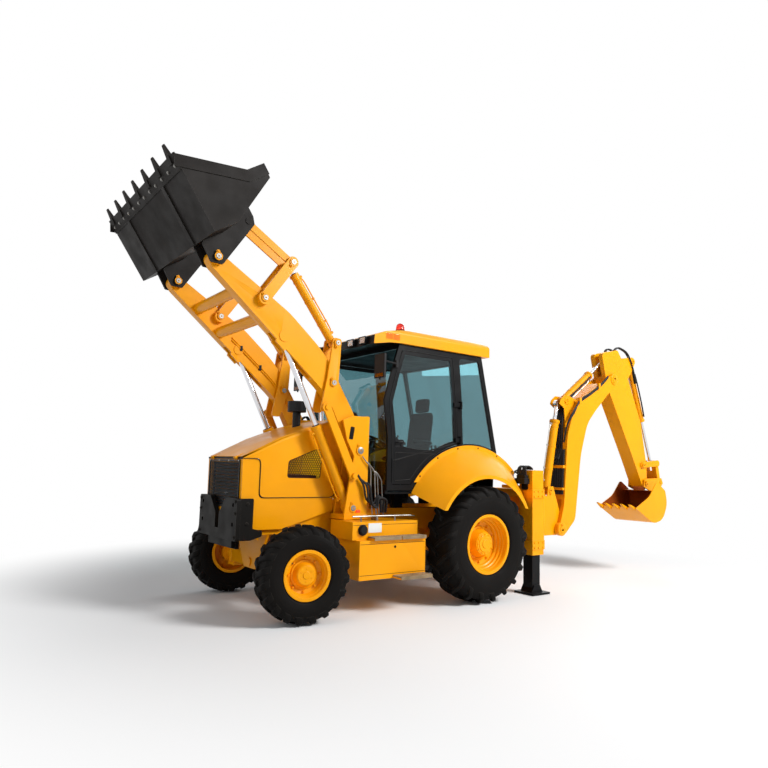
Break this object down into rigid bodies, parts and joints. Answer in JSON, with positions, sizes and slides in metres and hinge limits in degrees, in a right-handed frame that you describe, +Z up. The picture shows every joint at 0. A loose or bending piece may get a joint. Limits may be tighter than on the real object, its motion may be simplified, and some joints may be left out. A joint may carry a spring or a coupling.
{
  "type": "backhoe loader",
  "caption": "Backhoe loader with a raised toothed loader bucket on self-levelling arms, glazed cab, side-shift backhoe and two vertical stabilizer legs.",
  "frame": {"origin": "centre of the footprint of the whole machine, on the ground under the tyres", "axes": "+X forward, towards the loader bucket; +Y to the machine's left; +Z up"},
  "size_m": [8.2481, 2.42, 4.32],
  "materials": {
    "yellow_paint": "gloss",
    "black_paint": "satin",
    "pin_steel": "satin",
    "rod_chrome": "polished",
    "tyre_rubber": "matte",
    "black_plastic": "matte",
    "cast_block": "rough",
    "tinted_glass": "polished",
    "seat_cloth": "matte"
  },
  "bodies": {
    "chassis": {"chassis_frame": "yellow_paint", "axles": "yellow_paint", "engine_block": "cast_block", "body_panels": "yellow_paint", "fenders": "yellow_paint", "grille": "black_paint", "front_guard": "black_paint", "loader_towers": "yellow_paint", "side_boxes": "yellow_paint", "cab_frame": "black_paint", "cab_fittings": "black_plastic", "cab_glass": "tinted_glass", "cab_roof": "yellow_paint", "seat": "seat_cloth", "exhaust": "black_paint", "lamps_and_mirrors": "black_plastic"},
    "bonnet": {"bonnet": "yellow_paint", "air_precleaner": "black_plastic"},
    "door_left": {"door_left": "black_paint"},
    "door_right": {"door_right": "black_paint"},
    "knuckle_left": {"knuckle_left": "yellow_paint"},
    "knuckle_right": {"knuckle_right": "yellow_paint"},
    "front_wheel_left": {"front_rim_left": "yellow_paint", "front_tyre_left": "tyre_rubber"},
    "front_wheel_right": {"front_rim_right": "yellow_paint", "front_tyre_right": "tyre_rubber"},
    "rear_wheel_left": {"rear_rim_left": "yellow_paint", "rear_tyre_left": "tyre_rubber"},
    "rear_wheel_right": {"rear_rim_right": "yellow_paint", "rear_tyre_right": "tyre_rubber"},
    "loader_arms": {"loader_arms": "yellow_paint"},
    "rear_levers": {"rear_levers": "yellow_paint"},
    "levelling_links": {"levelling_links": "yellow_paint"},
    "bucket_pins": {"bucket_pins": "pin_steel"},
    "lever_pins": {"lever_pins": "pin_steel"},
    "top_pins": {"top_pins": "pin_steel"},
    "tilt_base_pins": {"tilt_base_pins": "pin_steel"},
    "tilt_levers": {"tilt_levers": "yellow_paint"},
    "bucket_links": {"bucket_links": "yellow_paint"},
    "lift_barrels": {"lift_barrels": "yellow_paint"},
    "lift_rods": {"lift_rods": "rod_chrome"},
    "tilt_barrels": {"tilt_barrels": "yellow_paint"},
    "tilt_rods": {"tilt_rods": "rod_chrome"},
    "loader_bucket": {"loader_bucket": "black_paint"},
    "carriage": {"carriage": "yellow_paint"},
    "kingpost": {"kingpost": "yellow_paint"},
    "boom": {"boom": "yellow_paint"},
    "boom_barrel": {"boom_barrel": "yellow_paint"},
    "boom_rod": {"boom_rod": "rod_chrome"},
    "dipper": {"dipper": "yellow_paint"},
    "dipper_barrel": {"dipper_barrel": "yellow_paint"},
    "dipper_rod": {"dipper_rod": "rod_chrome"},
    "hoe_bucket": {"hoe_bucket": "yellow_paint"},
    "hoe_bucket_barrel": {"hoe_bucket_barrel": "yellow_paint"},
    "hoe_bucket_rod": {"hoe_bucket_rod": "rod_chrome"},
    "tipping_levers": {"tipping_levers": "yellow_paint"},
    "tipping_link": {"tipping_link": "yellow_paint"},
    "stabilizer_left": {"stabilizer_left": "black_paint"},
    "stabilizer_right": {"stabilizer_right": "black_paint"}
  },
  "joints": [
    {"name": "steer_left", "type": "hinge", "parent": "chassis", "child": "knuckle_left", "pos_m": [2.491, 0.72, 0.462], "axis": [0, 0, 1], "range_deg": [-27.5, 42.5]},
    {"name": "steer_right", "type": "hinge", "parent": "chassis", "child": "knuckle_right", "pos_m": [2.491, -0.72, 0.462], "axis": [0, 0, 1], "range_deg": [-28, 43]},
    {"name": "front_spin_left", "type": "hinge", "parent": "knuckle_left", "child": "front_wheel_left", "pos_m": [2.491, 0.72, 0.462], "axis": [0.1305, 0.9914, 0], "continuous": true},
    {"name": "front_spin_right", "type": "hinge", "parent": "knuckle_right", "child": "front_wheel_right", "pos_m": [2.491, -0.72, 0.462], "axis": [0.1305, 0.9914, 0], "continuous": true},
    {"name": "rear_spin_left", "type": "hinge", "parent": "chassis", "child": "rear_wheel_left", "pos_m": [0.261, 0.995, 0.655], "axis": [0, 1, 0], "continuous": true},
    {"name": "rear_spin_right", "type": "hinge", "parent": "chassis", "child": "rear_wheel_right", "pos_m": [0.261, -0.995, 0.655], "axis": [0, 1, 0], "continuous": true},
    {"name": "door_left_hinge", "type": "hinge", "parent": "chassis", "child": "door_left", "pos_m": [0.351, 0.79, 2], "axis": [0, 0, 1], "range_deg": [0, 80]},
    {"name": "door_right_hinge", "type": "hinge", "parent": "chassis", "child": "door_right", "pos_m": [0.351, -0.79, 2], "axis": [0, 0, -1], "range_deg": [0, 80]},
    {"name": "bonnet_hinge", "type": "hinge", "parent": "chassis", "child": "bonnet", "pos_m": [2.991, 0, 1.556], "axis": [0, 1, 0], "range_deg": [0, 45]},
    {"name": "loader_lift", "type": "hinge", "parent": "chassis", "child": "loader_arms", "pos_m": [1.721, 0, 1.66], "axis": [0, -1, 0], "range_deg": [-78.8, 0]},
    {"name": "rear_lever_level", "type": "hinge", "parent": "loader_arms", "child": "rear_levers", "pos_m": [2.081, 0, 2.365], "axis": [0, -1, 0], "range_deg": [-0.5, 79.3]},
    {"name": "levelling_link_swing", "type": "hinge", "parent": "chassis", "child": "levelling_links", "pos_m": [1.811, 0, 1.39], "axis": [0, -1, 0], "range_deg": [-79.3, 0.5]},
    {"name": "bucket_pin_level", "type": "hinge", "parent": "loader_arms", "child": "bucket_pins", "pos_m": [3.446, 0, 3.45], "axis": [0, -1, 0], "range_deg": [-0.5, 75.03]},
    {"name": "lever_pin_level", "type": "hinge", "parent": "loader_arms", "child": "lever_pins", "pos_m": [2.93, 0, 3.138], "axis": [0, -1, 0], "range_deg": [-0.5, 75.03]},
    {"name": "top_pin_turn", "type": "hinge", "parent": "tilt_levers", "child": "top_pins", "pos_m": [2.636, 0, 3.565], "axis": [0, -1, 0], "range_deg": [-75.03, 0.5]},
    {"name": "tilt_base_turn", "type": "hinge", "parent": "rear_levers", "child": "tilt_base_pins", "pos_m": [2.051, 0, 2.8], "axis": [0, -1, 0], "range_deg": [-97.18, 0.5]},
    {"name": "lift_barrel_swing", "type": "hinge", "parent": "chassis", "child": "lift_barrels", "pos_m": [1.791, 0, 1.05], "axis": [0, -1, 0], "range_deg": [-68.41, 0.5]},
    {"name": "lift_rod_slide", "type": "slide", "parent": "lift_barrels", "child": "lift_rods", "axis": [0.4493, 0, 0.8934], "range_m": [-0.72378, 0.002]},
    {"name": "loader_tilt", "type": "hinge", "parent": "bucket_pins", "child": "loader_bucket", "pos_m": [3.446, 0, 3.45], "axis": [0, 1, 0], "range_deg": [0, 78]},
    {"name": "tilt_lever_turn", "type": "hinge", "parent": "lever_pins", "child": "tilt_levers", "pos_m": [2.93, 0, 3.138], "axis": [0, 1, 0], "range_deg": [-0.5, 78.5]},
    {"name": "bucket_link_level", "type": "hinge", "parent": "top_pins", "child": "bucket_links", "pos_m": [2.636, 0, 3.565], "axis": [0, 1, 0], "range_deg": [-78.5, 0.5]},
    {"name": "tilt_barrel_swing", "type": "hinge", "parent": "tilt_base_pins", "child": "tilt_barrels", "pos_m": [2.051, 0, 2.8], "axis": [0, 1, 0], "range_deg": [-0.5, 23.06]},
    {"name": "tilt_rod_slide", "type": "slide", "parent": "tilt_barrels", "child": "tilt_rods", "axis": [0.6075, 0, 0.7944], "range_m": [-0.002, 0.46615]},
    {"name": "side_shift", "type": "slide", "parent": "chassis", "child": "carriage", "axis": [0, 1, 0], "range_m": [-1.16, 0]},
    {"name": "slew", "type": "hinge", "parent": "carriage", "child": "kingpost", "pos_m": [-1.219, 0.58, 0.9], "axis": [0, 0, -1], "range_deg": [-90, 90]},
    {"name": "boom", "type": "hinge", "parent": "kingpost", "child": "boom", "pos_m": [-1.589, 0.58, 0.72], "axis": [0, -1, 0], "range_deg": [-12, 80]},
    {"name": "boom_barrel_swing", "type": "hinge", "parent": "kingpost", "child": "boom_barrel", "pos_m": [-1.429, 0.58, 1.23], "axis": [0, -1, 0], "range_deg": [-13.59, 87.77]},
    {"name": "boom_rod_slide", "type": "slide", "parent": "boom_barrel", "child": "boom_rod", "axis": [-0.2101, 0, 0.9777], "range_m": [-0.10086, 0.66109]},
    {"name": "dipper", "type": "hinge", "parent": "boom", "child": "dipper", "pos_m": [-2.839, 0.58, 2.89], "axis": [0, 1, 0], "range_deg": [-25, 62]},
    {"name": "dipper_barrel_swing", "type": "hinge", "parent": "boom", "child": "dipper_barrel", "pos_m": [-1.799, 0.58, 2.49], "axis": [0, 1, 0], "range_deg": [-3.8, 8.68]},
    {"name": "dipper_rod_slide", "type": "slide", "parent": "dipper_barrel", "child": "dipper_rod", "axis": [-0.8182, 0, 0.5749], "range_m": [-0.34098, 0.13868]},
    {"name": "hoe_bucket", "type": "hinge", "parent": "dipper", "child": "hoe_bucket", "pos_m": [-3.659, 0.58, 1.34], "axis": [0, 1, 0], "range_deg": [-55, 62]},
    {"name": "tipping_lever_turn", "type": "hinge", "parent": "dipper", "child": "tipping_levers", "pos_m": [-3.599, 0.58, 1.63], "axis": [0, 1, 0], "range_deg": [-55.5, 62.5]},
    {"name": "tipping_link_level", "type": "hinge", "parent": "tipping_levers", "child": "tipping_link", "pos_m": [-4.004, 0.58, 1.66], "axis": [0, 1, 0], "range_deg": [-62.5, 55.5]},
    {"name": "hoe_barrel_swing", "type": "hinge", "parent": "dipper", "child": "hoe_bucket_barrel", "pos_m": [-3.439, 0.58, 3.24], "axis": [0, 1, 0], "range_deg": [-1.64, 1.79]},
    {"name": "hoe_rod_slide", "type": "slide", "parent": "hoe_bucket_barrel", "child": "hoe_bucket_rod", "axis": [-0.3367, 0, -0.9416], "range_m": [-0.36725, 0.32601]},
    {"name": "stabilizer_left", "type": "slide", "parent": "chassis", "child": "stabilizer_left", "axis": [0, 0, 1], "range_m": [0, 0.35]},
    {"name": "stabilizer_right", "type": "slide", "parent": "chassis", "child": "stabilizer_right", "axis": [0, 0, 1], "range_m": [0, 0.35]}
  ],
  "couplings": [
    {"joint": "steer_right", "follows": "steer_left", "ratio": 1},
    {"joint": "rear_lever_level", "follows": "loader_lift", "ratio": -1},
    {"joint": "levelling_link_swing", "follows": "loader_lift", "ratio": 1},
    {"joint": "bucket_pin_level", "follows": "loader_lift", "ratio": -0.94582},
    {"joint": "lever_pin_level", "follows": "loader_lift", "ratio": -0.94582},
    {"joint": "top_pin_turn", "follows": "loader_lift", "ratio": 0.94582},
    {"joint": "tilt_base_turn", "follows": "loader_lift", "ratio": 1.2269},
    {"joint": "lift_barrel_swing", "follows": "loader_lift", "ratio": 0.86174},
    {"joint": "lift_rod_slide", "follows": "loader_lift", "m_per_rad": 0.52481},
    {"joint": "tilt_lever_turn", "follows": "loader_tilt", "ratio": 1},
    {"joint": "bucket_link_level", "follows": "loader_tilt", "ratio": -1},
    {"joint": "tilt_barrel_swing", "follows": "loader_tilt", "ratio": 0.28922},
    {"joint": "tilt_rod_slide", "follows": "loader_tilt", "m_per_rad": 0.34094},
    {"joint": "boom_barrel_swing", "follows": "boom", "ratio": 1.0909},
    {"joint": "boom_rod_slide", "follows": "boom", "m_per_rad": 0.47204},
    {"joint": "dipper_barrel_swing", "follows": "dipper", "ratio": 0.13193},
    {"joint": "dipper_rod_slide", "follows": "dipper", "m_per_rad": -0.31326},
    {"joint": "tipping_lever_turn", "follows": "hoe_bucket", "ratio": 1},
    {"joint": "tipping_link_level", "follows": "hoe_bucket", "ratio": -1},
    {"joint": "hoe_barrel_swing", "follows": "hoe_bucket", "ratio": 0.020729},
    {"joint": "hoe_rod_slide", "follows": "hoe_bucket", "m_per_rad": -0.33754}
  ]
}
